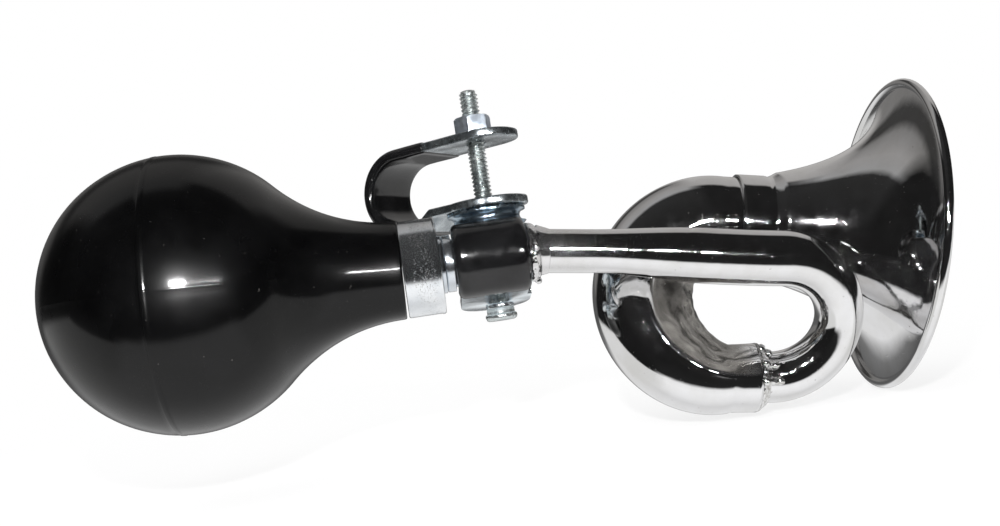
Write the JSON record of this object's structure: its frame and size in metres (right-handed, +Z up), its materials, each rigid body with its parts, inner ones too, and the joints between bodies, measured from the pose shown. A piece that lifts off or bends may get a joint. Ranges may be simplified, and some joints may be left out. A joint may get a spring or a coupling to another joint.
{
  "type": "bulb horn",
  "caption": "Bicycle bulb horn: rubber squeeze bulb, brass reed in a stem, coiled plated bugle tube with a flared bell, and a bolted clip and U strap that clamp it to a bar.",
  "frame": {"origin": "middle of the handlebar's seat in the U strap, on the bar's axis", "axes": "+X along the reed stem from the bulb to the bell, +Z up along the side the clamp bolt's nut is on, +Y away from the front of the clip"},
  "size_m": [0.2304, 0.0994, 0.0952],
  "materials": {
    "rubber": "glossy moulded rubber",
    "vinyl": "dipped black vinyl",
    "chrome": "bright plating",
    "zinc": "bright zinc plating",
    "solder": "rough plated solder",
    "brass": "bare brass"
  },
  "bodies": {
    "bar_bracket": {"bar_strap": "zinc", "bar_sleeve": "vinyl"},
    "clamp_bolt": {"clamp_bolt": "zinc"},
    "clamp_nut": {"clamp_nut": "zinc"},
    "clip": {"stem_clip": "zinc", "clip_sleeve": "vinyl", "swivel_spacer": "zinc", "lock_washer": "zinc"},
    "horn": {"reed_stem": "zinc", "stem_solder": "solder", "lead_tube": "chrome", "loop_solder": "solder", "loop_tube": "chrome", "bell": "chrome", "reed_holder": "brass", "reed_shallot": "brass", "reed_wedge": "brass"},
    "seal_ring": {"seal_washer": "zinc"},
    "collar": {"bulb_collar": "zinc"},
    "squeeze_bulb": {"bulb": "rubber"},
    "tongue": {"reed_tongue": "brass"}
  },
  "joints": [
    {"name": "bolt_turn", "type": "hinge", "parent": "bar_bracket", "child": "clamp_bolt", "pos_m": [0.01658, -0.01391, -0.02072], "axis": [0, -0.0872, -0.9962], "range_deg": [0, 1800.5]},
    {"name": "nut_travel", "type": "slide", "parent": "bar_bracket", "child": "clamp_nut", "axis": [0, 0.0872, 0.9962], "range_m": [0, 0.00529]},
    {"name": "clip_swivel", "type": "hinge", "parent": "bar_bracket", "child": "clip", "pos_m": [0.01658, -0.01391, -0.02072], "axis": [0, 0.0872, 0.9962], "range_deg": [-20, 236]},
    {"name": "stem_turn", "type": "hinge", "parent": "clip", "child": "horn", "pos_m": [0.01658, -0.02586, -0.01967], "axis": [1, 0, 0], "continuous": true},
    {"name": "bulb_travel", "type": "slide", "parent": "horn", "child": "seal_ring", "axis": [-1, 0, 0], "range_m": [0, 0.004]},
    {"name": "bulb_unscrew", "type": "hinge", "parent": "seal_ring", "child": "collar", "pos_m": [0.01658, -0.02586, -0.01967], "axis": [-1, 0, 0], "range_deg": [0, 1440]},
    {"name": "bulb_squeeze", "type": "slide", "parent": "collar", "child": "squeeze_bulb", "axis": [1, 0, 0], "range_m": [0, 0.018], "stiffness_N_per_m": 400, "deforming": ["bulb"]},
    {"name": "reed_beat", "type": "hinge", "parent": "horn", "child": "tongue", "pos_m": [0.00919, -0.02586, -0.01952], "axis": [0, 1, 0], "range_deg": [0, 2.4], "stiffness_Nm_per_rad": 0.002}
  ],
  "couplings": [
    {"joint": "bolt_turn", "follows": "nut_travel", "rad_per_m": 5938.7},
    {"joint": "bulb_travel", "follows": "bulb_unscrew", "m_per_rad": 0.00015915}
  ]
}
